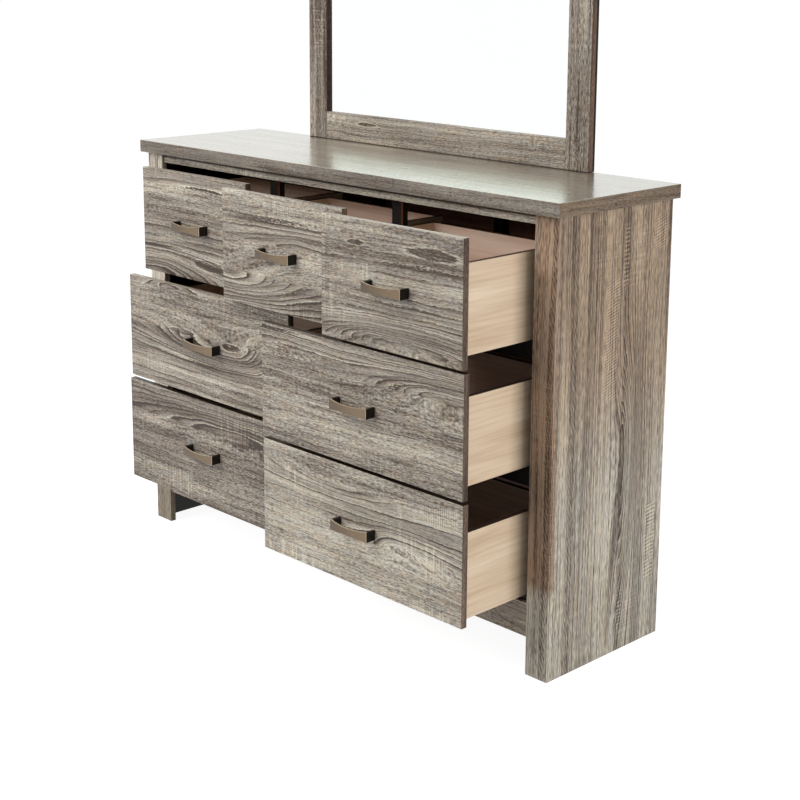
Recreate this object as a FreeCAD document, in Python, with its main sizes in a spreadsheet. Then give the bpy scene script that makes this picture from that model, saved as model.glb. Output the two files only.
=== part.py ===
import FreeCAD, Part
import Sketcher
import os

# A dresser with seven inset drawers on wooden runners, three over two over two, and a framed mirror that
# stands on the back of its top. Millimetres; X to the right, Y to the back, Z up from the floor, with the
# origin on the floor under the middle of the whole piece as it stands with its drawers open.

doc = FreeCAD.newDocument("Dresser")
sheet = doc.addObject("Spreadsheet::Sheet", "dim")

SIZES = {
    # carcass: 15 mm boards, a 30 mm top built up from two of them
    "carcass_width": 1350,
    "side_depth": 370,
    "side_thick": 15,
    "post_width": 58,
    "post_thick": 15,
    "top_thick": 30,
    "side_overhang": 15,
    "front_overhang": 14,
    "back_overhang": 6,
    "top_round": 1.5,
    "arris_round": 0.8,
    # rails across the front: the grained ones lie back from the posts, the black ones hide behind the fronts
    "rail_recess": 6,
    "rail_thick": 15,
    "top_rail_height": 22,
    "apron_height": 74,
    "cross_rail_height": 30,
    "cross_rail_depth": 26,
    "mullion_width": 28,
    "mullion_depth": 20,
    # back of the carcass
    "back_thick": 3,
    "rear_rail_depth": 20,
    "rear_top_rail_height": 60,
    # runners and guides that carry the drawer boxes
    "runner_thick": 11,
    "runner_lap": 6,
    "guide_width": 20,
    "guide_height": 20,
    "guide_clearance": 1.5,
    "slide_clearance": 0.5,
    # drawer fronts and the even gaps around them
    "front_thick": 15,
    "front_height": 257,
    "front_bottom": 157,
    "row_gap": 8,
    "column_gap": 7,
    "side_reveal": 4.5,
    "rail_gap": 4,
    "apron_gap": 3,
    # drawer boxes
    "box_length": 300,
    "box_height": 182,
    "box_board": 12,
    "box_clearance": 4,
    "bottom_thick": 3,
    "groove_lift": 10,
    "groove_depth": 6,
    "groove_play": 0.2,
    # how far each front stands before the posts
    "opening_top_left": 62,
    "opening_top_middle": 135,
    "opening_top_right": 198,
    "opening_middle_left": 110,
    "opening_middle_right": 192,
    "opening_bottom_left": 115,
    "opening_bottom_right": 190,
    # bowed strap pulls
    "pull_length": 112,
    "pull_height": 22,
    "pull_waist": 3.4,
    "pull_standoff": 25.5,
    "pull_bow": 6.3,
    "pull_strap": 3.5,
    "pull_leg": 7,
    "pull_corner": 1.2,
    "pull_inside_corner": 3,
    # mirror
    "mirror_width": 918,
    "mirror_height": 900,
    "stile_width": 65,
    "mirror_rail_height": 69,
    "frame_thick": 15,
    "glass_thick": 5,
    "glass_play": 0.3,
    "rebate_width": 9,
    "backing_thick": 8,
    "backing_inset": 0.8,
    "support_width": 40,
    "support_thick": 18,
    "support_spacing": 500,
    "support_above_top": 500,
    "support_below_top": 65,
    "packer_height": 55,
}

for row, (name, size) in enumerate(SIZES.items(), start=1):
    sheet.set(f"A{row}", name)
    sheet.set(f"B{row}", str(size))
    sheet.setAlias(f"B{row}", name)
doc.recompute()

# Places that several pieces share, as expressions in the sizes above.
OPENINGS = "; ".join(f"dim.{name}" for name in SIZES if name.startswith("opening_"))
BACK_REACH = "(dim.side_depth + dim.back_overhang + dim.support_thick)"
FRONT_REACH = f"(max({OPENINGS}) + dim.pull_standoff + dim.pull_bow)"
POST_FACE = f"(({FRONT_REACH} - {BACK_REACH}) / 2)"
POST_BACK = f"({POST_FACE} + dim.post_thick)"
PANEL_BACK = f"({POST_FACE} + dim.side_depth)"
BACK_FACE = f"({PANEL_BACK} - dim.back_thick)"
TOP_BACK = f"({PANEL_BACK} + dim.back_overhang)"
HALF_WIDTH = "(dim.carcass_width / 2)"
POST_INNER = f"({HALF_WIDTH} - dim.post_width)"
SIDE_INNER = f"({HALF_WIDTH} - dim.side_thick)"
ROW_PITCH = "(dim.front_height + dim.row_gap)"
TOP_UNDERSIDE = f"(dim.front_bottom + 2 * {ROW_PITCH} + dim.front_height + dim.rail_gap + dim.top_rail_height)"
APRON_TOP = "(dim.front_bottom - dim.apron_gap)"
LOWER_RAIL = f"(dim.front_bottom + {ROW_PITCH} - (dim.row_gap + dim.cross_rail_height) / 2)"
UPPER_RAIL = f"({LOWER_RAIL} + {ROW_PITCH})"
BOX_INSET = "(dim.mullion_width / 2 + dim.box_clearance - dim.column_gap / 2)"
BOX_OUTER = f"({POST_INNER} - dim.side_reveal - {BOX_INSET})"

# What the runners of each row lie on, from the bottom row up.
RUNNER_SEATS = [
    APRON_TOP,
    f"({LOWER_RAIL} + dim.cross_rail_height)",
    f"({UPPER_RAIL} + dim.cross_rail_height)",
]

nodes = []


def bind(thing, expressions):
    """Bind each named property of an object to an expression."""
    for prop, expression in expressions.items():
        thing.setExpression(prop, expression)


def place(thing, x, y, z):
    """Bind an object's position."""
    bind(thing, {"Placement.Base.x": x, "Placement.Base.y": y, "Placement.Base.z": z})


def board(name, corner, size):
    """A square-edged board from its lower left front corner and its width, depth and height."""
    box = doc.addObject("Part::Box", name)
    place(box, *corner)
    bind(box, {"Length": size[0], "Width": size[1], "Height": size[2]})
    return box


def node(thing, label):
    """Give a finished sub-part the label that names its file."""
    thing.Label = label
    nodes.append(thing)
    return thing


def group(label, pieces):
    """Like pieces that share one label and stay separate solids."""
    compound = doc.addObject("Part::Compound", label)
    compound.Links = pieces
    return node(compound, label)


def faced_board(label, corner, size, rounding, cuts=(), all_round=False):
    """A board with softened arrises round its front face, or round every edge, and grooves or rebates."""
    body = doc.addObject("PartDesign::Body", label)
    blank = body.newObject("PartDesign::AdditiveBox", f"{label}_blank")
    bind(blank, {"Length": size[0], "Width": size[1], "Height": size[2]})
    for count, (at, extent) in enumerate(cuts):
        cut = body.newObject("PartDesign::SubtractiveBox", f"{label}_cut_{count}")
        place(cut, *at)
        bind(cut, {"Length": extent[0], "Width": extent[1], "Height": extent[2]})
    doc.recompute()
    sawn = body.Tip
    arrises = [
        f"Edge{index}"
        for index, edge in enumerate(sawn.Shape.Edges, start=1)
        if all_round or edge.BoundBox.YMax < 0.001
    ]
    fillet = body.newObject("PartDesign::Fillet", f"{label}_arrises")
    fillet.Base = (sawn, arrises)
    fillet.setExpression("Radius", rounding)
    place(body, *corner)
    return node(body, label)


# Carcass: two side panels that stand on the floor, a post board over the front edge of each, and the top.
faced_board(
    "top_panel",
    (f"-{HALF_WIDTH} - dim.side_overhang", f"{POST_FACE} - dim.front_overhang", TOP_UNDERSIDE),
    (
        "dim.carcass_width + 2 * dim.side_overhang",
        "dim.front_overhang + dim.side_depth + dim.back_overhang",
        "dim.top_thick",
    ),
    "dim.top_round",
    all_round=True,
)
for hand, panel_x, post_x in (
    ("left", f"-{HALF_WIDTH}", f"-{HALF_WIDTH}"),
    ("right", SIDE_INNER, POST_INNER),
):
    panel_size = ("dim.side_thick", "dim.side_depth - dim.post_thick", TOP_UNDERSIDE)
    node(board(f"{hand}_side", (panel_x, POST_BACK, "0"), panel_size), f"{hand}_side_panel")
    faced_board(
        f"{hand}_front_post",
        (post_x, POST_FACE, "0"),
        ("dim.post_width", "dim.post_thick", TOP_UNDERSIDE),
        "dim.arris_round",
    )

# Grained rails between the posts, a little behind their faces.
RAIL_FACE = f"({POST_FACE} + dim.rail_recess)"
BETWEEN_POSTS = f"2 * {POST_INNER}"
for label, rail_bottom, rail_height in (
    ("top_rail", f"{TOP_UNDERSIDE} - dim.top_rail_height", "dim.top_rail_height"),
    ("bottom_apron", f"{APRON_TOP} - dim.apron_height", "dim.apron_height"),
):
    faced_board(
        label,
        (f"-{POST_INNER}", RAIL_FACE, rail_bottom),
        (BETWEEN_POSTS, "dim.rail_thick", rail_height),
        "dim.arris_round",
    )

# Black rails behind the gaps between the rows, and their fellows along the back.
BETWEEN_SIDES = f"2 * {SIDE_INNER}"
CROSS_RAIL = (BETWEEN_SIDES, "dim.cross_rail_depth", "dim.cross_rail_height")
node(board("upper_rail", (f"-{SIDE_INNER}", POST_BACK, UPPER_RAIL), CROSS_RAIL), "upper_cross_rail")
node(board("lower_rail", (f"-{SIDE_INNER}", POST_BACK, LOWER_RAIL), CROSS_RAIL), "lower_cross_rail")

REAR_RAIL_FACE = f"({BACK_FACE} - dim.rear_rail_depth)"
REAR_TOP_RAIL = f"({TOP_UNDERSIDE} - dim.rear_top_rail_height)"
rear_rails = [
    board(
        f"rear_rail_{count}",
        (f"-{SIDE_INNER}", REAR_RAIL_FACE, f"{seat} - dim.cross_rail_height"),
        (BETWEEN_SIDES, "dim.rear_rail_depth", "dim.cross_rail_height"),
    )
    for count, seat in enumerate(RUNNER_SEATS)
]
rear_top = (BETWEEN_SIDES, "dim.rear_rail_depth", "dim.rear_top_rail_height")
rear_rails.append(board("rear_rail_top", (f"-{SIDE_INNER}", REAR_RAIL_FACE, REAR_TOP_RAIL), rear_top))
group("rear_rails", rear_rails)

back_corner = (f"-{SIDE_INNER}", BACK_FACE, f"{APRON_TOP} - dim.apron_height")
back_size = (BETWEEN_SIDES, "dim.back_thick", f"{TOP_UNDERSIDE} - {APRON_TOP} + dim.apron_height")
node(board("back", back_corner, back_size), "back_panel")

# Runners: a flat strip on the rails under each outer side of the boxes, with a guide strip on it, and a
# wider one under each line of mullions that carries the sides of two neighbouring boxes.
RUNNER_LENGTH = "dim.side_depth - dim.post_thick - dim.back_thick"
SIDE_RUNNER_WIDTH = f"({SIDE_INNER} - {BOX_OUTER} + dim.box_board + dim.runner_lap)"
GUIDE_FACE = f"({BOX_OUTER} + dim.guide_clearance)"
GUIDE_LENGTH = f"{RUNNER_LENGTH} - dim.cross_rail_depth - dim.rear_rail_depth"
DIVIDER_WIDTH = "(dim.mullion_width + 2 * (dim.box_clearance + dim.box_board + dim.runner_lap))"
TOP_ROW_FRONT = f"((2 * {POST_INNER} - 2 * dim.side_reveal - 2 * dim.column_gap) / 3)"
LOWER_ROW_FRONT = f"((2 * {POST_INNER} - 2 * dim.side_reveal - dim.column_gap) / 2)"
MULLION_LINE = f"(({TOP_ROW_FRONT} + dim.column_gap) / 2)"

side_runners = []
side_guides = []
for row, seat in enumerate(RUNNER_SEATS):
    for hand, runner_x, guide_x in (
        ("left", f"-{SIDE_INNER}", f"-{GUIDE_FACE} - dim.guide_width"),
        ("right", f"{SIDE_INNER} - {SIDE_RUNNER_WIDTH}", GUIDE_FACE),
    ):
        runner_size = (SIDE_RUNNER_WIDTH, RUNNER_LENGTH, "dim.runner_thick")
        side_runners.append(board(f"runner_{hand}_{row}", (runner_x, POST_BACK, seat), runner_size))
        guide_corner = (guide_x, f"{POST_BACK} + dim.cross_rail_depth", f"{seat} + dim.runner_thick")
        guide_size = ("dim.guide_width", GUIDE_LENGTH, "dim.guide_height")
        side_guides.append(board(f"guide_{hand}_{row}", guide_corner, guide_size))
group("side_runners", side_runners)
group("side_guides", side_guides)

# Mullions stand on the divider runners at the front, and thinner company at the back closes each line.
MULLION_FACE = f"({RAIL_FACE} + dim.rail_thick)"
DIVIDERS = [
    ("bottom", 0, "0", LOWER_RAIL, f"{RUNNER_SEATS[1]} - dim.cross_rail_height"),
    ("middle", 1, "0", UPPER_RAIL, f"{RUNNER_SEATS[2]} - dim.cross_rail_height"),
    ("top_left", 2, f"-{MULLION_LINE}", TOP_UNDERSIDE, REAR_TOP_RAIL),
    ("top_right", 2, MULLION_LINE, TOP_UNDERSIDE, REAR_TOP_RAIL),
]
divider_runners = []
mullions = []
rear_battens = []
for name, row, line, front_end, rear_end in DIVIDERS:
    seat = RUNNER_SEATS[row]
    runner_corner = (f"{line} - {DIVIDER_WIDTH} / 2", POST_BACK, seat)
    runner_size = (DIVIDER_WIDTH, RUNNER_LENGTH, "dim.runner_thick")
    divider_runners.append(board(f"runner_{name}", runner_corner, runner_size))
    foot = f"({seat} + dim.runner_thick)"
    left = f"{line} - dim.mullion_width / 2"
    mullion_size = ("dim.mullion_width", "dim.mullion_depth", f"{front_end} - {foot}")
    mullions.append(board(f"mullion_{name}", (left, MULLION_FACE, foot), mullion_size))
    batten_size = ("dim.mullion_width", "dim.rear_rail_depth", f"{rear_end} - {foot}")
    rear_battens.append(board(f"batten_{name}", (left, REAR_RAIL_FACE, foot), batten_size))
group("divider_runners", divider_runners)
group("lower_row_mullions", mullions[:2])
group("top_row_mullions", mullions[2:])
group("rear_battens", rear_battens)


def pull(label, centre_x, face_y, centre_z):
    """A strap bowed away from the drawer, waisted towards its middle, on two legs that are turned back.

    The plan outline is padded to the full height, and two shallow segments are cut off above and below.
    The drawing's own Y runs out of the drawer, so the finished body is turned half a turn about Z.
    """
    body = doc.addObject("PartDesign::Body", label)
    planes = {plane.Role: plane for plane in body.Origin.OriginFeatures}
    length = sheet.get("pull_length")
    standoff = sheet.get("pull_standoff")
    bow = sheet.get("pull_bow")
    leg = sheet.get("pull_leg")
    strap = sheet.get("pull_strap")
    height = sheet.get("pull_height")
    waist = sheet.get("pull_waist")

    def point(x, y):
        return FreeCAD.Vector(x, y, 0)

    def sketch_on(role, name):
        sketch = body.newObject("Sketcher::SketchObject", f"{label}_{name}")
        sketch.AttachmentSupport = [(planes[role], "")]
        sketch.MapMode = "FlatFace"
        return sketch

    def segment(start, end):
        return Part.LineSegment(point(*start), point(*end))

    def arc(start, through, end):
        return Part.Arc(point(*start), point(*through), point(*end))

    def join(sketch, first, first_end, second, second_end):
        sketch.addConstraint(Sketcher.Constraint("Coincident", first, first_end, second, second_end))

    def measure(sketch, expression, *args):
        index = sketch.addConstraint(Sketcher.Constraint(*args))
        sketch.setExpression(f"Constraints[{index}]", expression)

    # Plan: outer leg, bowed face, outer leg, foot, inner leg, bowed back, inner leg, foot.
    plan = sketch_on("XY_Plane", "plan")
    inside = standoff - strap
    outline = [
        segment((0, 0), (0, standoff)),
        arc((0, standoff), (length / 2, standoff + bow), (length, standoff)),
        segment((length, standoff), (length, 0)),
        segment((length, 0), (length - leg, 0)),
        segment((length - leg, 0), (length - leg, inside)),
        arc((leg, inside), (length / 2, inside + bow), (length - leg, inside)),
        segment((leg, inside), (leg, 0)),
        segment((leg, 0), (0, 0)),
    ]
    face_arc, back_arc = 1, 5
    plan.addGeometry(outline, False)
    # An arc starts at its right-hand end, because it is drawn anticlockwise.
    join(plan, 0, 2, face_arc, 2)
    join(plan, face_arc, 1, 2, 1)
    join(plan, 2, 2, 3, 1)
    join(plan, 3, 2, 4, 1)
    join(plan, 4, 2, back_arc, 1)
    join(plan, back_arc, 2, 6, 1)
    join(plan, 6, 2, 7, 1)
    join(plan, 7, 2, 0, 1)
    join(plan, 0, 1, -1, 1)
    join(plan, back_arc, 3, face_arc, 3)
    for upright in (0, 2, 4, 6):
        plan.addConstraint(Sketcher.Constraint("Vertical", upright))
    for foot in (3, 7):
        plan.addConstraint(Sketcher.Constraint("Horizontal", foot))
    plan.addConstraint(Sketcher.Constraint("PointOnObject", 2, 2, -1))
    plan.addConstraint(Sketcher.Constraint("Horizontal", 0, 2, 2, 1))
    bow_radius = "(dim.pull_length ^ 2 / 4 + dim.pull_bow ^ 2) / (2 * dim.pull_bow)"
    measure(plan, "dim.pull_standoff", "DistanceY", 0, 1, 0, 2, standoff)
    measure(plan, "dim.pull_length", "DistanceX", 0, 1, 2, 2, length)
    measure(plan, "dim.pull_leg", "DistanceX", 0, 1, 7, 1, leg)
    measure(plan, "dim.pull_leg", "DistanceX", 3, 2, 3, 1, leg)
    radius = (length ** 2 / 4 + bow ** 2) / (2 * bow)
    measure(plan, bow_radius, "Radius", face_arc, radius)
    measure(plan, f"{bow_radius} - dim.pull_strap", "Radius", back_arc, radius - strap)
    pad = body.newObject("PartDesign::Pad", f"{label}_strap")
    pad.Profile = plan
    pad.setExpression("Length", "dim.pull_height")
    doc.recompute()

    # Elevation: what the waist takes off the lower edge and off the upper edge.
    waists = sketch_on("XZ_Plane", "waists")
    waists.addGeometry(
        [
            arc((0, 0), (length / 2, waist), (length, 0)),
            segment((0, 0), (length, 0)),
            arc((0, height), (length / 2, height - waist), (length, height)),
            segment((0, height), (length, height)),
        ],
        False,
    )
    join(waists, 0, 2, 1, 1)
    join(waists, 0, 1, 1, 2)
    join(waists, 2, 1, 3, 1)
    join(waists, 2, 2, 3, 2)
    join(waists, 1, 1, -1, 1)
    waists.addConstraint(Sketcher.Constraint("PointOnObject", 1, 2, -1))
    waists.addConstraint(Sketcher.Constraint("PointOnObject", 3, 1, -2))
    waists.addConstraint(Sketcher.Constraint("Horizontal", 3))
    waist_radius = "(dim.pull_length ^ 2 / 4 + dim.pull_waist ^ 2) / (2 * dim.pull_waist)"
    cut_radius = (length ** 2 / 4 + waist ** 2) / (2 * waist)
    measure(waists, "dim.pull_length", "DistanceX", 1, 1, 1, 2, length)
    measure(waists, "dim.pull_length", "DistanceX", 3, 1, 3, 2, length)
    measure(waists, "dim.pull_height", "DistanceY", 1, 1, 3, 1, height)
    measure(waists, waist_radius, "Radius", 0, cut_radius)
    measure(waists, waist_radius, "Radius", 2, cut_radius)
    cut = body.newObject("PartDesign::Pocket", f"{label}_waist")
    cut.Profile = waists
    cut.Type = "ThroughAll"
    doc.recompute()

    # Rounded bends at the ends, tighter outside than inside.
    for name, size, corner_x, corner_y in (
        ("outer_bends", "dim.pull_corner", (0, length), standoff),
        ("inner_bends", "dim.pull_inside_corner", (leg, length - leg), None),
    ):
        base = body.Tip
        picked = []
        for index, edge in enumerate(base.Shape.Edges, start=1):
            box = edge.BoundBox
            upright = box.ZLength > 5 and box.XLength < 0.01 and box.YLength < 0.01
            at_x = min(abs(box.XMin - x) for x in corner_x) < 0.01
            at_y = box.YMin > 1 if corner_y is None else abs(box.YMin - corner_y) < 0.01
            if upright and at_x and at_y:
                picked.append(f"Edge{index}")
        bends = body.newObject("PartDesign::Fillet", f"{label}_{name}")
        bends.Base = (base, picked)
        bends.setExpression("Radius", size)
        doc.recompute()

    body.Placement.Rotation = FreeCAD.Rotation(FreeCAD.Vector(0, 0, 1), 180)
    place(body, f"{centre_x} + dim.pull_length / 2", face_y, f"{centre_z} - dim.pull_height / 2")
    return node(body, label)


def drawer(name, left, width, row):
    """One drawer: front, two grooved sides, back, bottom and pull, pulled out by its own opening."""
    face_y = f"({POST_FACE} - dim.opening_{name})"
    front_z = f"(dim.front_bottom + {row} * {ROW_PITCH})"
    box_y = f"({face_y} + dim.front_thick)"
    box_z = f"({RUNNER_SEATS[row]} + dim.runner_thick + dim.slide_clearance)"
    box_x = f"({left} + {BOX_INSET})"
    box_width = f"({width} - 2 * {BOX_INSET})"
    groove_x = f"({box_x} + dim.box_board - dim.groove_depth)"
    groove_width = f"({box_width} - 2 * dim.box_board + 2 * dim.groove_depth)"
    groove_z = f"({box_z} + dim.groove_lift)"
    groove_height = "(dim.bottom_thick + dim.groove_play)"

    front_groove = (
        (f"{groove_x} - {left}", "dim.front_thick - dim.groove_depth", f"{groove_z} - {front_z}"),
        (groove_width, "dim.groove_depth", groove_height),
    )
    faced_board(
        f"{name}_drawer_front",
        (left, face_y, front_z),
        (width, "dim.front_thick", "dim.front_height"),
        "dim.arris_round",
        cuts=[front_groove],
    )

    sides = []
    right_side_x = f"{box_x} + {box_width} - dim.box_board"
    right_groove_x = f"{groove_x} + {groove_width} - dim.groove_depth"
    for hand, side_x, cut_x in (("left", box_x, groove_x), ("right", right_side_x, right_groove_x)):
        plank_size = ("dim.box_board", "dim.box_length", "dim.box_height")
        plank = board(f"{name}_{hand}_plank", (side_x, box_y, box_z), plank_size)
        groove_size = ("dim.groove_depth", "dim.box_length", groove_height)
        groove = board(f"{name}_{hand}_groove", (cut_x, box_y, groove_z), groove_size)
        side = doc.addObject("Part::Cut", f"{name}_{hand}_side")
        side.Base = plank
        side.Tool = groove
        sides.append(side)
    group(f"{name}_drawer_sides", sides)

    bottom_corner = (
        f"{groove_x} + dim.groove_play",
        f"{box_y} - dim.groove_depth + dim.groove_play",
        f"{groove_z} + dim.groove_play / 2",
    )
    bottom_size = (
        f"{groove_width} - 2 * dim.groove_play",
        "dim.box_length + dim.groove_depth - dim.groove_play",
        "dim.bottom_thick",
    )
    node(board(f"{name}_bottom", bottom_corner, bottom_size), f"{name}_drawer_bottom")

    back_corner = (
        f"{box_x} + dim.box_board",
        f"{box_y} + dim.box_length - dim.box_board",
        f"{groove_z} + {groove_height}",
    )
    back_size = (
        f"{box_width} - 2 * dim.box_board",
        "dim.box_board",
        f"dim.box_height - dim.groove_lift - {groove_height}",
    )
    node(board(f"{name}_back", back_corner, back_size), f"{name}_drawer_back")

    pull(f"{name}_pull", f"{left} + {width} / 2", face_y, f"{front_z} + dim.front_height / 2")


FIRST_FRONT = f"(dim.side_reveal - {POST_INNER})"
TOP_STEP = f"({TOP_ROW_FRONT} + dim.column_gap)"
LOWER_STEP = f"({LOWER_ROW_FRONT} + dim.column_gap)"
for column, name in enumerate(("top_left", "top_middle", "top_right")):
    drawer(name, f"({FIRST_FRONT} + {column} * {TOP_STEP})", TOP_ROW_FRONT, 2)
for row, level in ((1, "middle"), (0, "bottom")):
    for column, hand in enumerate(("left", "right")):
        left_edge = f"({FIRST_FRONT} + {column} * {LOWER_STEP})"
        drawer(f"{level}_{hand}", left_edge, LOWER_ROW_FRONT, row)

# Mirror: full-height stiles with the rails butted between them, a glass in the rebate behind, a backing
# board over the whole back, and two battens that hold it to the back edge of the top and the rear top rail.
MIRROR_FOOT = f"({TOP_UNDERSIDE} + dim.top_thick)"
FRAME_BACK = f"({TOP_BACK} - dim.backing_thick)"
FRAME_FACE = f"({FRAME_BACK} - dim.frame_thick)"
REBATE_DEPTH = "(dim.glass_thick + dim.glass_play)"
HALF_MIRROR = "(dim.mirror_width / 2)"
for hand, stile_x, rebate_x in (
    ("left", f"-{HALF_MIRROR}", "dim.stile_width - dim.rebate_width"),
    ("right", f"{HALF_MIRROR} - dim.stile_width", "0"),
):
    rebate = (
        (rebate_x, f"dim.frame_thick - {REBATE_DEPTH}", "0"),
        ("dim.rebate_width", REBATE_DEPTH, "dim.mirror_height"),
    )
    faced_board(
        f"mirror_{hand}_stile",
        (stile_x, FRAME_FACE, MIRROR_FOOT),
        ("dim.stile_width", "dim.frame_thick", "dim.mirror_height"),
        "dim.arris_round",
        cuts=[rebate],
    )
OPENING_WIDTH = "(dim.mirror_width - 2 * dim.stile_width)"
OPENING_HEIGHT = "(dim.mirror_height - 2 * dim.mirror_rail_height)"
for level, rail_z, rebate_z in (
    ("bottom", MIRROR_FOOT, "dim.mirror_rail_height - dim.rebate_width"),
    ("top", f"{MIRROR_FOOT} + dim.mirror_height - dim.mirror_rail_height", "0"),
):
    rebate = (
        ("0", f"dim.frame_thick - {REBATE_DEPTH}", rebate_z),
        (OPENING_WIDTH, REBATE_DEPTH, "dim.rebate_width"),
    )
    faced_board(
        f"mirror_{level}_rail",
        (f"-{OPENING_WIDTH} / 2", FRAME_FACE, rail_z),
        (OPENING_WIDTH, "dim.frame_thick", "dim.mirror_rail_height"),
        "dim.arris_round",
        cuts=[rebate],
    )
GLASS_LAP = "(dim.rebate_width - 2 * dim.glass_play)"
glass_corner = (
    f"-{OPENING_WIDTH} / 2 - {GLASS_LAP}",
    f"{FRAME_BACK} - dim.glass_thick",
    f"{MIRROR_FOOT} + dim.mirror_rail_height - {GLASS_LAP}",
)
glass_size = (f"{OPENING_WIDTH} + 2 * {GLASS_LAP}", "dim.glass_thick", f"{OPENING_HEIGHT} + 2 * {GLASS_LAP}")
node(board("glass", glass_corner, glass_size), "mirror_glass")

backing_corner = (f"dim.backing_inset - {HALF_MIRROR}", FRAME_BACK, f"{MIRROR_FOOT} + dim.backing_inset")
backing_size = (
    "dim.mirror_width - 2 * dim.backing_inset",
    "dim.backing_thick",
    "dim.mirror_height - 2 * dim.backing_inset",
)
node(board("backing", backing_corner, backing_size), "mirror_backing")

supports = []
for hand, side in (("left", "-1"), ("right", "1")):
    support_x = f"{side} * dim.support_spacing / 2 - dim.support_width / 2"
    batten_corner = (support_x, TOP_BACK, f"{TOP_UNDERSIDE} - dim.support_below_top")
    batten_height = "dim.support_below_top + dim.top_thick + dim.support_above_top"
    batten = board(f"support_{hand}", batten_corner, ("dim.support_width", "dim.support_thick", batten_height))
    packer_corner = (support_x, PANEL_BACK, f"{TOP_UNDERSIDE} - dim.packer_height")
    packer_size = ("dim.support_width", "dim.back_overhang", "dim.packer_height")
    packer = board(f"packer_{hand}", packer_corner, packer_size)
    support = doc.addObject("Part::Fuse", f"mirror_support_{hand}")
    support.Base = batten
    support.Tool = packer
    supports.append(support)
group("mirror_supports", supports)

doc.recompute()
failed = [thing.Label for thing in doc.Objects if {"Invalid", "Error"} & set(thing.State)]
failed += [thing.Label for thing in nodes if thing.Shape.isNull() or not thing.Shape.isValid()]
if failed:
    raise RuntimeError(f"failed: {failed}")

os.makedirs("parts", exist_ok=True)
for thing in nodes:
    thing.Shape.exportStep(f"parts/{thing.Label}.step")
print(len(nodes), "parts")
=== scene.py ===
import math

import bpy
from mathutils import Matrix, Vector


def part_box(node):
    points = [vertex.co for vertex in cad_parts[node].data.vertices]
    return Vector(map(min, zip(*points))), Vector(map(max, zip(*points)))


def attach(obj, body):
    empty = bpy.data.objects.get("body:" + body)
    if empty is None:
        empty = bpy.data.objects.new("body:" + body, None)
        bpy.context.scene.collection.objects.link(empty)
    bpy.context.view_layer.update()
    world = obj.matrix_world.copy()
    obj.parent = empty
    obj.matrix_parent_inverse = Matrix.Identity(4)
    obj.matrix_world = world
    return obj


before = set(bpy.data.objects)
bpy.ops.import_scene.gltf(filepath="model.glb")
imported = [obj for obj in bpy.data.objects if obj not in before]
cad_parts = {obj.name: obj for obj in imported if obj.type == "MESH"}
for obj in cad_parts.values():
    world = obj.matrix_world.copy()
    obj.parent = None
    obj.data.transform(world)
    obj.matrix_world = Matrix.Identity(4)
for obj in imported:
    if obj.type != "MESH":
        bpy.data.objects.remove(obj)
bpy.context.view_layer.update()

# Side panels: 15 mm chipboard standing on the floor, covered outside with a printed paper of weathered,
# rough-sawn oak with the grain upright, and black inside. The print is drawn here once for every board:
# streaks that follow growth rings, rings that swerve round a figure, short pores and pale saw marks.


class Wire:
    """One value on its way through a finish; sums and products add the nodes they need."""

    def __init__(self, finish, socket):
        self.finish = finish
        self.socket = socket

    def calc(self, operation, other):
        return self.finish.calc(operation, self, other)

    def __add__(self, other):
        return self.calc("ADD", other)

    def __sub__(self, other):
        return self.calc("SUBTRACT", other)

    def __mul__(self, other):
        return self.calc("MULTIPLY", other)

    def __truediv__(self, other):
        return self.calc("DIVIDE", other)

    def __rsub__(self, other):
        return self.finish.calc("SUBTRACT", other, self)

    __radd__ = __add__
    __rmul__ = __mul__


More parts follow.
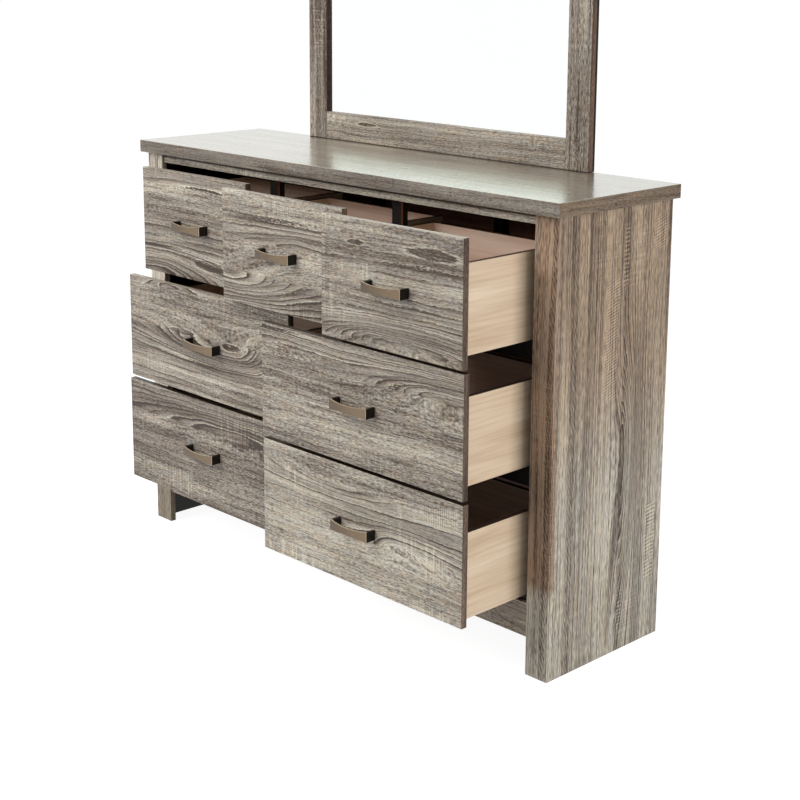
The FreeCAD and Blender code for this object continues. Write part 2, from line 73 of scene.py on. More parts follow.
class Finish:
    """A material drawn node by node on the board's own coordinates, in metres."""

    def __init__(self, name):
        self.material = bpy.data.materials.new(name)
        self.material.use_nodes = True
        self.tree = self.material.node_tree
        self.shader = self.tree.nodes["Principled BSDF"]
        place = self.tree.nodes.new("ShaderNodeTexCoord")
        self.x, self.y, self.z = self.split(place.outputs["Object"])
        self.facing_x, self.facing_y, self.facing_z = (
            self.calc("ABSOLUTE", part) for part in self.split(place.outputs["Normal"])
        )

    def node(self, kind, inputs, **settings):
        made = self.tree.nodes.new(kind)
        for key, value in settings.items():
            setattr(made, key, value)
        for key, value in inputs.items():
            self.feed(made.inputs[key], value)
        return made

    def feed(self, socket, value):
        if isinstance(value, Wire):
            self.tree.links.new(value.socket, socket)
        else:
            socket.default_value = value

    def split(self, vector):
        made = self.tree.nodes.new("ShaderNodeSeparateXYZ")
        self.tree.links.new(vector, made.inputs[0])
        return [Wire(self, part) for part in made.outputs]

    def calc(self, operation, *values):
        made = self.node("ShaderNodeMath", dict(enumerate(values)), operation=operation)
        return Wire(self, made.outputs[0])

    def choose(self, first, second, share):
        """The first value where share is 0, the second where it is 1."""
        return first + (second - first) * share

    def step(self, value, low, high):
        """0 below low, 1 above high, and a smooth rise between them."""
        made = self.node(
            "ShaderNodeMapRange",
            {"Value": value, "From Min": low, "From Max": high},
            interpolation_type="SMOOTHSTEP",
        )
        return Wire(self, made.outputs[0])

    def looks_along(self, facing):
        """1 on faces that look along an axis, 0 on the others."""
        return self.step(facing, 0.6, 0.8)

    def noise(self, along, across, depth, detail=2.0, roughness=0.5):
        """Cloudy noise between 0 and 1, centred on 0.5."""
        spot = self.node("ShaderNodeCombineXYZ", {0: along, 1: across, 2: depth})
        made = self.node(
            "ShaderNodeTexNoise",
            {
                "Vector": Wire(self, spot.outputs[0]),
                "Scale": 1.0,
                "Detail": detail,
                "Roughness": roughness,
            },
        )
        return Wire(self, made.outputs["Fac"])

    def draw(self, value):
        """A fixed random number for each whole number."""
        made = self.node("ShaderNodeTexWhiteNoise", {"W": value}, noise_dimensions="1D")
        return Wire(self, made.outputs["Value"])

    def ramp(self, value, stops):
        made = self.node("ShaderNodeValToRGB", {"Fac": value})
        points = made.color_ramp.elements
        while len(points) < len(stops):
            points.new(0.5)
        for point, (at, colour) in zip(points, stops):
            point.position = at
            point.color = colour
        return Wire(self, made.outputs["Color"])

    def blend(self, first, second, share, mode="MIX"):
        """Two colours mixed or multiplied."""
        made = self.node(
            "ShaderNodeMix", {0: share, 6: first, 7: second}, data_type="RGBA", blend_type=mode
        )
        return Wire(self, made.outputs[2])

    def relief(self, height, depth):
        """Fine surface relief, its height in units of depth metres."""
        made = self.node("ShaderNodeBump", {"Height": height, "Strength": 1.0, "Distance": depth})
        self.tree.links.new(made.outputs[0], self.shader.inputs["Normal"])

    def gloss(self, **values):
        """Constants on the shader's own sockets, or wires."""
        for key, value in values.items():
            self.feed(self.shader.inputs[key.replace("_", " ")], value)


def paint(red, green, blue):
    """A colour as it looks on a screen, 0 to 255, in the linear values that the shader takes."""
    parts = [channel / 255 for channel in (red, green, blue)]
    parts = [c / 12.92 if c <= 0.04045 else ((c + 0.055) / 1.055) ** 2.4 for c in parts]
    return (*parts, 1.0)


OAK = [
    (0.00, paint(64, 54, 46)),
    (0.20, paint(95, 84, 74)),
    (0.40, paint(126, 117, 107)),
    (0.60, paint(153, 145, 133)),
    (0.80, paint(180, 172, 157)),
    (1.00, paint(208, 200, 184)),
]
MEAN_TONE = 0.64
RING = 0.024
BEND, RIPPLE, CURL = 0.030, 0.010, 0.0025
FEATHER = 0.0085
LINE_CORE, LINE_SHADE, LINE_RIM = 0.58, 0.30, 0.24
PORE_DARK = 0.20
KNOT_DARK, KNOT_RIM, KNOT_HALO = 0.24, 0.16, 0.22
KERF_PALE, TICK_PALE, BAR_PALE = 0.24, 0.16, 0.42
FLAME_PALE = 0.18
PAPER_RELIEF = 0.0002
INNER_BLACK = paint(26, 22, 20)
INNER_DEPTH = 0.012


def oak_print(
    name, grain, face, seed, figures=(), knots=(), stains=(), kerfed=(), flames=(), saw=1.0,
    tone=0.0, contrast=1.0, stretch=1.0, streaky=0.75, gritty=1.15, hairy=0.21, fine=1.0, bold=1.0,
    ring=RING, edge=None, painted_shade=(), inner=None,
):
    """Weathered oak print. The grain runs along X or Z, and face is where the board's face lies on the
    axis that the face looks along.
    Each figure is a swerve in the rings: where it is along and across the grain, how far it lifts the
    rings, its half width, and its reach to either side.
    Each knot is a dark lens: where it is, half its length and half its width.
    Each stain is a streak along the whole board: where it is across the grain, half its width, how much
    darker it is, and the slant of the ring ends in it.
    Each kerfed patch shows the bars of the saw: where it starts and ends along the grain, its middle
    across the grain, half its width, and the bars' spacing and slant.
    Each flame is a patch of curly figure: where it is, half its length and half its width.
    Saw, streaky, gritty, hairy and bold weigh the saw marks, the streaks, the grit, the hair lines and
    the ring lines. Stretch draws the grain out, fine makes it finer, and ring is the rings' spacing.
    Edge is the band on the board's edges, painted_shade a list of tints of painted shade that set in
    between two heights, and inner the outer face of a board whose other face is black.
    """
    f = Finish(name)
    if grain == "X":
        along, across = f.x, f.z + f.y - face
    else:
        along, across = f.z, f.x + f.y - face
    if edge:
        on_end = f.looks_along(f.facing_x)
        along = f.choose(along, edge["along"](f), on_end)
        across = f.choose(across, edge["across"](f), on_end)

    bend = f.noise(along * 1.1, across * 4.0, seed, detail=1.5) - 0.5
    ripple = f.noise(along * (9.0 / stretch), across * 28.0, seed + 3.1) - 0.5
    curl = f.noise(along * (40.0 / stretch), across * 55.0, seed + 5.3, detail=1.0) - 0.5
    level = across + bend * BEND + ripple * RIPPLE + curl * CURL
    swerve = 0.0
    shown = f.step(f.noise(along * 1.3, across * 9.0, seed + 7.7), 0.52, 0.68) * 0.5
    for at, height, lift, width, reach_before, reach_after in figures:
        away = along - at
        reach = f.choose(reach_before, reach_after, f.step(away, -0.001, 0.001))
        run = away / reach
        rise = (level - height) / width
        run_2 = run * run
        rise_2 = rise * rise
        swerve = f.calc("EXPONENT", (run_2 + rise_2) * -1.0) * lift + swerve
        side = f.step(rise, -0.40, -0.2) if lift < 0 else 1.0 - f.step(rise, 0.2, 0.40)
        near = f.calc("EXPONENT", (run_2 * 0.35 + rise_2 * 0.3) * -1.0)
        shown = shown + near * side * 1.3
    shown = f.calc("MINIMUM", shown, 1.0)
    flow = level + swerve * 0.4
    thread = level + swerve * 0.3

    bands = f.noise(along * 1.3, flow * 22.0, seed + 11.0) - 0.5
    streaks = f.noise(along * (4.5 / stretch), flow * 95.0, seed + 17.0) - 0.5
    hairs = f.noise(along * (8.0 / stretch), flow * (250.0 * fine), seed + 29.0, detail=1.0)
    hairs = f.step(hairs, 0.545, 0.615)
    short = fine * stretch ** -0.6
    grit = f.noise(
        along * (105.0 * short), thread * (400.0 * fine), seed + 23.0, detail=1.0, roughness=0.7
    ) - 0.5
    pores = f.noise(along * (55.0 * short), thread * (380.0 * fine), seed + 31.0, detail=0.0)
    pores = f.step(pores, 0.56, 0.66)

    uneven = f.noise(along * 0.8, (level + swerve) * 38.0, seed + 37.0, detail=1.0)
    turn = (level + swerve) / ring + uneven * 2.4 + grit * 0.30
    phase = f.calc("FRACT", turn)
    chance = f.draw(f.calc("FLOOR", turn))
    core = f.step(phase, 0.56, 0.74) * (1.0 - f.step(phase, 0.80, 0.88))
    shade = f.step(phase, 0.05, 0.70) * (1.0 - f.step(phase, 0.80, 0.92))
    rim = f.step(phase, 0.86, 0.91) * (1.0 - f.step(phase, 0.94, 1.0))
    line = core * LINE_CORE + shade * LINE_SHADE - rim * LINE_RIM
    line = line * (chance * 0.85 + 0.2) * (shown * bold)

    busy = (1.0 - shown * 0.35) * contrast
    value = MEAN_TONE + tone + bands * contrast + streaks * (streaky * contrast)
    value = value + grit * busy * gritty - hairs * busy * hairy - pores * busy * PORE_DARK
    value = value - line * contrast
    for at, half_width, dark, slant in stains:
        rise = f.calc("ABSOLUTE", (level - at) / half_width)
        inside = 1.0 - f.step(rise, 0.6, 1.05)
        if slant:
            ends = f.calc("FRACT", (level + along * slant) / FEATHER + grit * 0.8)
            feather = f.step(ends, 0.30, 0.75) * (1.0 - f.step(ends, 0.85, 0.95))
            inside = inside * (feather * 0.6 + 0.55)
        value = value - inside * dark
    for at, height, half_length, half_width in knots:
        run = (along - at) / half_length
        rise = (level - height) / half_width
        reach = f.calc("SQRT", run * run + rise * rise) + curl * 0.5 + grit * 0.15
        heart = 1.0 - f.step(reach, 0.88, 0.97)
        halo = f.step(reach, 0.97, 1.06) * (1.0 - f.step(reach, 1.15, 1.4))
        value = value - heart * (f.step(reach, 0.55, 0.85) * KNOT_RIM + KNOT_DARK) + halo * KNOT_HALO
    if saw:
        patch = f.step(f.noise(along * 3.0, across * 8.0, seed + 41.0), 0.54, 0.66)
        kerfs = f.step(f.noise(along * 260.0, across * 9.0, seed + 43.0, detail=0.0), 0.50, 0.72)
        ticks = f.step(f.noise(along * 70.0, across * 4.0, seed + 47.0, detail=0.0), 0.70, 0.78)
        value = value + (kerfs * KERF_PALE + ticks * TICK_PALE) * patch * saw
    for low, high, at, half_width, spacing, slant in kerfed:
        rise = f.calc("ABSOLUTE", (level - at) / half_width)
        patch = (1.0 - f.step(rise, 0.6, 1.1)) * f.step(along, low, low + 0.02)
        patch = patch * (1.0 - f.step(along, high - 0.02, high))
        worn = f.noise(along * 30.0, across * 30.0, seed + 59.0)
        bars = f.calc("PINGPONG", (along - across * slant) / spacing + worn, 0.5)
        value = value + (f.step(bars, 0.12, 0.40) - 0.4) * patch * f.step(worn, 0.25, 0.5) * BAR_PALE
    for at, height, half_length, half_width in flames:
        run = (along - at) / half_length
        rise = (across - height) / half_width
        patch = 1.0 - f.step(run * run + rise * rise, 0.5, 1.1)
        lick = f.calc("FRACT", f.noise(along * 36.0, across * 36.0, seed + 61.0, detail=1.0) * 5.0)
        tongue = f.step(lick, 0.30, 0.55) * (1.0 - f.step(lick, 0.65, 0.95))
        value = value + (tongue - 0.2) * patch * FLAME_PALE
    colour = f.ramp(value, OAK)
    fleck = f.noise(along * (18.0 / stretch), flow * 70.0, seed + 53.0)
    warmth = f.ramp(fleck, [(0.36, paint(255, 250, 245)), (0.64, paint(247, 250, 254))])
    colour = f.blend(colour, warmth, 1.0, "MULTIPLY")
    if edge:
        for tint, where in edge["tints"]:
            colour = f.blend(colour, tint, where(f), "MULTIPLY")
    # Painted shade: each tint sets in between two heights and darkens the board above them, or below them
    # when the first height is the greater.
    for low, high, tint in painted_shade:
        colour = f.blend(colour, tint, f.step(f.z, low, high), "MULTIPLY")
    if inner:
        depth = f.calc("ABSOLUTE", f.x - inner)
        colour = f.blend(colour, INNER_BLACK, f.step(depth, INNER_DEPTH, INNER_DEPTH + 0.002))
    f.gloss(Base_Color=colour, Roughness=0.55 - value * 0.12, Specular_IOR_Level=0.3)
    f.relief(value, PAPER_RELIEF)
    return f


def dress(finish, *names):
    """Lay a finish on whole boards or fittings."""
    for name in names:
        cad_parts[name].data.materials.clear()
        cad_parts[name].data.materials.append(finish.material)


SIDE_FIGURES = [(0.46, 0.152, -0.085, 0.036, 0.36, 0.17)]
SIDE_STAINS = [
    (-0.072, 0.009, 0.30, 0.45),
    (-0.050, 0.012, -0.08, 0.0),
    (-0.022, 0.012, 0.30, 0.45),
    (0.032, 0.013, 0.14, 0.20),
    (0.061, 0.003, 0.22, 0.0),
    (0.095, 0.025, -0.10, 0.0),
    (0.145, 0.010, 0.20, 0.30),
    (0.175, 0.011, -0.07, 0.0),
    (0.202, 0.012, 0.18, 0.0),
    (0.236, 0.018, -0.07, 0.0),
]
SIDE_KERFS = [
    (0.56, 0.83, 0.098, 0.024, 0.0066, 0.3),
    (0.79, 0.94, 0.140, 0.010, 0.0090, 0.1),
    (0.86, 0.945, 0.250, 0.022, 0.0066, 0.3),
    (0.13, 0.32, 0.250, 0.018, 0.0085, 0.1),
    (0.04, 0.15, 0.149, 0.008, 0.0085, 0.1),
]
# Painted shade: each side panel is darker and browner above 0.75 m, fading in from 0.25 m.
SIDE_PAINTED_SHADE = [(0.25, 0.75, paint(224, 207, 192))]
SIDE_FACE = 0.675
for name, face, seed in (("right_side_panel", SIDE_FACE, 3.0), ("left_side_panel", -SIDE_FACE, 9.0)):
    side_print = oak_print(
        f"{name}_print", "Z", face, seed, SIDE_FIGURES, stains=SIDE_STAINS, kerfed=SIDE_KERFS, saw=0.5,
        tone=0.10, contrast=0.88, stretch=5.0, streaky=0.40, gritty=1.5, hairy=0.42, fine=1.15, bold=1.6,
        ring=0.009, painted_shade=SIDE_PAINTED_SHADE, inner=face,
    )
    dress(side_print, name)

# Front posts: two upright boards of the same print, glued over the front edges of the side panels. The
# right one is browner above the knee, a painted shadow of the open drawers, and the left one greyer near
# the floor, a painted shade.
POST_FACE = -0.0821
POST_STAIN = (0.667, 0.008, 0.55, 0.45)
POST_PAINTED_SHADES = {
    "left_front_post": [(0.40, 0.14, paint(190, 182, 172))],
    "right_front_post": [(0.175, 0.215, paint(205, 183, 170))],
}
for seed, (name, painted_shade) in enumerate(POST_PAINTED_SHADES.items(), 15):
    post_print = oak_print(
        f"{name}_print", "Z", POST_FACE, seed, stains=[POST_STAIN], tone=0.30, stretch=5.0, streaky=0.5,
        gritty=1.8, hairy=0.44, fine=1.15, painted_shade=painted_shade,
    )
    dress(post_print, name)

# Top rail and apron: boards of the same print with the grain across, glued between the sides and set
# a little behind the posts. The rail carries a painted shadow along its upper edge, under the top's
# overhang, and the apron a painted shade that makes it a little browner.
RAIL_FACE = -0.0761
RAIL_FIGURES = [(0.30, 0.13, -0.05, 0.022, 0.25, 0.40)]
RAIL_SHADE = [(0.9605, 0.9635, paint(120, 110, 102)), (0.5, 0.3, paint(255, 248, 244))]
rail_print = oak_print(
    "rail_print", "X", RAIL_FACE, 27.0, RAIL_FIGURES, tone=0.06, ring=0.014, painted_shade=RAIL_SHADE
)
dress(rail_print, "top_rail", "bottom_apron")

# Inner frame: rails, battens, runners and guides of raw board, fixed between the sides and painted
# a matt black that is uneven from the brush.
BLACK_PAINT = [(0.3, paint(16, 14, 13)), (0.75, paint(30, 26, 24))]


def black_paint(name):
    """The brushed black, its brush marks and its colour."""
    f = Finish(name)
    brushed = f.noise(f.x * 30.0, f.z * 30.0 + f.y * 12.0, 1.0)
    colour = f.ramp(brushed, BLACK_PAINT)
    f.gloss(Base_Color=colour, Roughness=0.45 + brushed * 0.2, Specular_IOR_Level=0.15)
    return f, brushed, colour


black, _, _ = black_paint("black_frame_paint")
dress(
    black, "upper_cross_rail", "lower_cross_rail", "rear_rails", "rear_battens", "side_runners",
    "divider_runners", "side_guides",
)

# Mullions: short uprights between the drawers, in the same black, sawn to width after painting, so that
# their sides are raw along the front edge.
MULLION_FACE = -0.0611
RAW_STRIP = 0.005
RAW_BOARD = [(0.3, paint(142, 84, 58)), (0.75, paint(176, 112, 82))]
sawn, brushed, painted = black_paint("black_mullion_paint")
behind = sawn.step(sawn.y - MULLION_FACE, RAW_STRIP, RAW_STRIP + 0.001)
raw = sawn.looks_along(sawn.facing_x) * (1.0 - behind)
sawn.gloss(Base_Color=sawn.blend(painted, sawn.ramp(brushed, RAW_BOARD), raw))
dress(sawn, "top_row_mullions", "lower_row_mullions")

# Back panel: thin hardboard with a dark brown wood print, the grain across, nailed into the rear rails
# from behind.
BROWN_PRINT = [(0.25, paint(96, 60, 46)), (0.5, paint(126, 84, 66)), (0.75, paint(154, 110, 88))]
brown = Finish("back_panel_print")
strands = brown.noise(brown.x * 2.0, brown.z * 70.0, 2.0, detail=3.0)
brown.gloss(Base_Color=brown.ramp(strands, BROWN_PRINT), Roughness=0.6)
dress(brown, "back_panel")

# Top: two boards thick and fixed down from inside, the same print under a harder, smoother lacquer that
# mirrors the room when it is seen at a slant, with a band of the print along each edge.
TOP_FACE = 1.0
TOP_BAND = {
    "along": lambda f: f.y,
    "across": lambda f: f.z,
    "tints": [
        (paint(234, 235, 238), lambda f: 1.0 - f.looks_along(f.facing_z)),
        (paint(255, 238, 220), lambda f: f.looks_along(f.facing_x)),
    ],
}
top_print = oak_print(
    "top_print", "X", TOP_FACE, 33.0, tone=-0.20, contrast=0.7, fine=1.3, saw=0.6, edge=TOP_BAND
)
lacquered = top_print.step(top_print.facing_z, 0.7, 0.9)
slant = top_print.node("ShaderNodeLayerWeight", {"Blend": 0.5})
sheen = lacquered * top_print.step(Wire(top_print, slant.outputs["Facing"]), 0.3, 0.8)
drawn = top_print.noise(top_print.x * 1.5, top_print.y * 110.0, 35.0) - 0.5
top_print.gloss(
    IOR=3.6,
    Roughness=top_print.choose(0.5, 0.29 + drawn * 0.20, lacquered),
    Specular_IOR_Level=0.035 + lacquered * 0.035 + sheen * 0.43,
    Specular_Tint=(0.93, 1.0, 0.84, 1.0),
    Coat_Weight=sheen,
    Coat_Roughness=0.18 + drawn * 0.15,
    Coat_IOR=2.6,
)
dress(top_print, "top_panel")

# Drawer fronts: boards of the print with the grain across, fixed to the boxes from inside. Each is cut
# from its own part of the sheet, so it has its own figure. The ends carry a darker band, and three fronts
# have a painted shade on their top edges, where the front above shades the gap.
FRONT_BAND = {
    "along": lambda f: f.z,
    "across": lambda f: f.y,
    "tints": [(paint(158, 139, 128), lambda f: f.looks_along(f.facing_x))],
}
# Painted shade on the top edges of the three fronts that sit under another front.
SHADED_TOP = (paint(70, 60, 54), lambda f: f.looks_along(f.facing_z))
SHADED_BAND = {**FRONT_BAND, "tints": [*FRONT_BAND["tints"], SHADED_TOP]}
SHADED_FRONTS = ("middle_right", "bottom_left", "bottom_right")
FRONTS = {
    "top_left": {
        "face": -0.1441,
        "tone": -0.05,
        "bold": 1.5,
        "ring": 0.024,
        "figures": [(-0.56, 0.690, -0.13, 0.040, 0.25, 0.20), (-0.38, 0.915, -0.03, 0.02, 0.25, 0.3)],
        "knots": [(-0.352, 0.727, 0.058, 0.012)],
    },
    "top_middle": {
        "face": -0.2171,
        "tone": -0.03,
        "bold": 1.45,
        "ring": 0.021,
        "figures": [(-0.17, 0.745, 0.13, 0.052, 0.28, 0.22), (0.05, 0.845, -0.04, 0.02, 0.15, 0.25)],
    },
    "top_right": {
        "face": -0.2801,
        "tone": -0.09,
        "ring": 0.015,
        "figures": [(0.40, 0.708, -0.11, 0.035, 0.17, 0.40)],
        "knots": [(0.53, 0.897, 0.066, 0.012), (0.31, 0.897, 0.026, 0.006)],
    },
    "middle_left": {
        "face": -0.1921,
        "tone": -0.105,
        "bold": 1.3,
        "ring": 0.018,
        "figures": [(-0.21, 0.555, 0.13, 0.045, 0.28, 0.12), (-0.46, 0.672, -0.04, 0.018, 0.06, 0.1)],
        "knots": [(-0.212, 0.561, 0.034, 0.008), (-0.40, 0.570, 0.05, 0.006)],
    },
    "middle_right": {
        "face": -0.2741,
        "tone": -0.06,
        "contrast": 1.1,
        "ring": 0.018,
        "figures": [(0.57, 0.616, -0.11, 0.035, 0.20, 0.40), (0.10, 0.64, -0.03, 0.02, 0.2, 0.25)],
    },
    "bottom_left": {
        "face": -0.1971,
        "tone": -0.22,
        "contrast": 1.15,
        "bold": 1.3,
        "ring": 0.018,
        "figures": [(-0.20, 0.358, -0.085, 0.036, 0.34, 0.25)],
    },
    "bottom_right": {
        "face": -0.2721,
        "tone": 0.10,
        "contrast": 1.12,
        "ring": 0.019,
        "figures": [(0.43, 0.272, -0.07, 0.028, 0.07, 0.25), (0.20, 0.36, 0.05, 0.03, 0.2, 0.25)],
        "kerfed": [(0.01, 0.21, 0.262, 0.070, 0.0042, 0.0), (0.50, 0.61, 0.375, 0.026, 0.0050, 0.0)],
    },
}
for number, (name, cut) in enumerate(FRONTS.items()):
    band = SHADED_BAND if name in SHADED_FRONTS else FRONT_BAND
    front = oak_print(f"{name}_front_print", "X", seed=40.0 + 6.0 * number, edge=band, **cut)
    top_edge = front.step(front.facing_z, 0.7, 0.9)
    front.gloss(Roughness=0.48 - top_edge * 0.16, Specular_IOR_Level=0.3 + top_edge * 0.25)
    dress(front, f"{name}_drawer_front")

# Drawer boxes: boards covered with a pale maple foil whose fine grain runs with their length. Their top
# edges are raw and dark, and the backs are a little pinker than the sides.
MAPLE = [(0.30, paint(193, 164, 135)), (0.50, paint(213, 191, 164)), (0.70, paint(227, 209, 184))]
PINK_MAPLE = [(0.30, paint(186, 154, 134)), (0.50, paint(205, 178, 160)), (0.70, paint(217, 195, 178))]
RAW_EDGE = [(0.3, paint(52, 38, 31)), (0.7, paint(74, 55, 45))]


def maple_grain(f, along, across):
    """The whole grain, and its fine lines alone."""
    soft = f.noise(along * 1.6, across * 22.0, 5.0)
    fine = f.noise(along * 7.0, across * 150.0, 6.0)
    return soft * 0.6 + fine * 0.4, fine


def maple_foil(name, colours):
    """Foil on the faces of a board, and raw board on its top edge."""
    f = Finish(name)
    along = f.choose(f.y, f.x, f.looks_along(f.facing_y))
    grain, fine = maple_grain(f, along, f.z + (f.x + f.y - along))
    raw = f.ramp(fine, RAW_EDGE)
    f.gloss(Base_Color=f.blend(f.ramp(grain, colours), raw, f.looks_along(f.facing_z)), Roughness=0.5)
    return f


maple_sides = maple_foil("maple_foil", MAPLE)
maple_inside = maple_foil("pink_maple_foil", PINK_MAPLE)
for name in FRONTS:
    dress(maple_sides, f"{name}_drawer_sides")
    dress(maple_inside, f"{name}_drawer_back")

# Drawer bottoms: thin hardboard under a pale maple paper, slid into the grooves of the sides, with the
# paper's grain from side to side.
paper = Finish("maple_paper")
grain, _ = maple_grain(paper, paper.x, paper.y)
paper.gloss(Base_Color=paper.ramp(grain, PINK_MAPLE), Roughness=0.55)
for name in FRONTS:
    dress(paper, f"{name}_drawer_bottom")

# Pulls: cast straps in a dark bronze, screwed on through the fronts. The face is brushed along its length
# and grows lighter towards its right end, a painted highlight. A painted highlight also runs along the
# strap's upper edge and, stronger towards the right, along its rounded arrises, and the legs are dark.
STRAP_DEPTH = 0.0098
BRONZE_FACE_AND_PAINTED_LIGHT = [(0.25, paint(70, 57, 43)), (0.85, paint(128, 110, 89))]
BRONZE_LEGS = [(0.3, paint(20, 16, 13)), (0.7, paint(34, 28, 23))]
BRONZE_PAINTED_HIGHLIGHT = [(0.3, paint(190, 168, 138)), (0.7, paint(222, 201, 171))]
for name in FRONTS:
    (left_end, strap_front, _), (right_end, _, _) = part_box(f"{name}_pull")
    bronze = Finish(f"{name}_bronze_with_painted_highlight")
    hair = bronze.noise(bronze.x * 60.0, bronze.z * 1500.0, 2.0)
    # Painted highlight: the face grows lighter from its left end to its right end.
    across = bronze.step(bronze.x, left_end - 0.02, right_end)
    face = bronze.ramp(hair * 0.6 + across * 0.5, BRONZE_FACE_AND_PAINTED_LIGHT)
    legs = bronze.ramp(hair, BRONZE_LEGS)
    painted_highlight_colour = bronze.ramp(hair, BRONZE_PAINTED_HIGHLIGHT)
    on_strap = 1.0 - bronze.step(bronze.y - strap_front, STRAP_DEPTH - 0.0005, STRAP_DEPTH)
    # Painted highlights on the strap's upper edge and, stronger towards the right, on its rounded
    # arrises.
    painted_highlight_upper_edge = bronze.step(bronze.facing_z, 0.3, 0.6) * on_strap
    painted_highlight_span = bronze.step(bronze.x, left_end + 0.01, right_end - 0.01)
    painted_highlight_arris = bronze.step(bronze.facing_y, 0.25, 0.6) * painted_highlight_span
    colour = bronze.blend(legs, painted_highlight_colour, bronze.calc("MAXIMUM", painted_highlight_upper_edge, painted_highlight_arris))
    bronze.gloss(
        Base_Color=bronze.blend(colour, face, bronze.step(bronze.facing_y, 0.85, 0.97)),
        Metallic=0.5,
        Roughness=0.36,
    )
    dress(bronze, f"{name}_pull")

# Mirror frame: flat boards of the print, the rails butted between full-height stiles, so that the grain
# turns at the joints. Its foot carries a thin painted shadow where it meets the top.
MIRROR_FACE = 0.2709
MIRROR_BAND = {
    "along": lambda f: f.z,
    "across": lambda f: f.y,
    "tints": [(paint(163, 135, 120), lambda f: f.looks_along(f.facing_x))],
}
MIRROR_FOOT_PAINTED_SHADOW = [(1.0040, 1.0012, paint(120, 105, 92))]
STILES = {
    "mirror_left_stile": {"seed": 90.0, "tone": -0.31, "flames": [(1.29, -0.410, 0.055, 0.018)]},
    "mirror_right_stile": {"seed": 94.0, "tone": -0.14, "flames": [(1.055, 0.425, 0.045, 0.018)]},
}
for name, cut in STILES.items():
    stile_print = oak_print(
        f"{name}_print", "Z", MIRROR_FACE, contrast=1.1, stretch=2.0, streaky=0.5, gritty=1.1, hairy=0.25,
        fine=1.3, edge=MIRROR_BAND, painted_shade=MIRROR_FOOT_PAINTED_SHADOW, **cut,
    )
    dress(stile_print, name)
RAIL_KNOTS = [(-0.246, 1.0486, 0.034, 0.004)]
RAIL_FLAMES = [(-0.35, 1.048, 0.050, 0.020), (0.318, 1.052, 0.052, 0.018)]
for name, seed in (("mirror_bottom_rail", 98.0), ("mirror_top_rail", 103.0)):
    mirror_rail_print = oak_print(
        f"{name}_print", "X", MIRROR_FACE, seed, knots=RAIL_KNOTS, flames=RAIL_FLAMES, tone=-0.09,
        stretch=1.6, gritty=1.0, fine=1.5, edge=MIRROR_BAND, painted_shade=MIRROR_FOOT_PAINTED_SHADOW,
    )
    dress(mirror_rail_print, name)

# Mirror glass: float glass silvered on its back, laid against the frame from behind. The silver film is
# very slightly uneven.
SILVER_FILM = [(0.2, (0.97, 0.98, 0.98, 1)), (0.8, (0.98, 0.985, 0.985, 1))]
silver = Finish("silvered_glass")
film = silver.noise(silver.x * 3.0, silver.z * 3.0, 1.0)
silver.gloss(Base_Color=silver.ramp(film, SILVER_FILM), Metallic=1.0, Roughness=0.02)
dress(silver, "mirror_glass")

# Mirror backing and its battens: a black board nailed over the glass, and two battens of black painted
# wood that hold the mirror to the back of the dresser.
dress(black, "mirror_backing", "mirror_supports")

# Nails and screws: flat steel nails hold the back panel to the rear rails and the black backing to the
# mirror frame. Two zinc-plated screws with cross recesses go through each drawer front into the legs of
# its pull.
HEAD_SIDES = 20


def fixing_heads():
    """A tree that sets a head on each point it is given, looking to the back, each turned by chance."""
    tree = bpy.data.node_groups.new("fixing_heads", "GeometryNodeTree")
    face = tree.interface.new_socket
    face("Points", in_out="INPUT", socket_type="NodeSocketGeometry")
    for label in ("Radius", "Height", "Crown", "Recess length", "Recess width", "Recess depth"):
        face(label, in_out="INPUT", socket_type="NodeSocketFloat")
    face("Recessed", in_out="INPUT", socket_type="NodeSocketBool")
    face("Seed", in_out="INPUT", socket_type="NodeSocketInt")
    face("Metal", in_out="INPUT", socket_type="NodeSocketMaterial")
    face("Heads", in_out="OUTPUT", socket_type="NodeSocketGeometry")
    given = tree.nodes.new("NodeGroupInput").outputs

    def add(kind, inputs, **settings):
        made = tree.nodes.new(kind)
        for key, value in settings.items():
            setattr(made, key, value)
        for key, value in inputs.items():
            if isinstance(value, bpy.types.NodeSocket):
                tree.links.new(value, made.inputs[key])
            else:
                made.inputs[key].default_value = value
        return made.outputs

    crown = add("ShaderNodeMath", {0: given["Radius"], 1: given["Crown"]}, operation="MULTIPLY")[0]
    head = add(
        "GeometryNodeMeshCone",
        {
            "Vertices": HEAD_SIDES,
            "Radius Top": crown,
            "Radius Bottom": given["Radius"],
            "Depth": given["Height"],
        },
    )[0]
    bars = []
    for long_way, short_way in (("Recess length", "Recess width"), ("Recess width", "Recess length")):
        sides = {0: given[long_way], 1: given[short_way], 2: given["Recess depth"]}
        size = add("ShaderNodeCombineXYZ", sides)[0]
        bar = add("GeometryNodeMeshCube", {"Size": size})[0]
        lift = add("ShaderNodeCombineXYZ", {2: given["Height"]})[0]
        bars.append(add("GeometryNodeTransform", {"Geometry": bar, "Translation": lift})[0])
    cut = add("GeometryNodeMeshBoolean", {"Mesh 1": head}, operation="DIFFERENCE")[0]
    for bar in bars:
        tree.links.new(bar, cut.node.inputs["Mesh 2"])
    shape = add(
        "GeometryNodeSwitch",
        {"Switch": given["Recessed"], "False": head, "True": cut},
        input_type="GEOMETRY",
    )[0]
    spin = add(
        "FunctionNodeRandomValue", {2: 0.0, 3: math.tau, "Seed": given["Seed"]}, data_type="FLOAT"
    )[1]
    lean = add("ShaderNodeCombineXYZ", {0: -math.pi / 2, 1: spin})[0]
    heads = add(
        "GeometryNodeInstanceOnPoints", {"Points": given["Points"], "Instance": shape, "Rotation": lean}
    )[0]
    solid = add("GeometryNodeRealizeInstances", {"Geometry": heads})[0]
    plated = add("GeometryNodeSetMaterial", {"Geometry": solid, "Material": given["Metal"]})[0]
    tree.links.new(plated, tree.nodes.new("NodeGroupOutput").inputs["Heads"])
    return tree


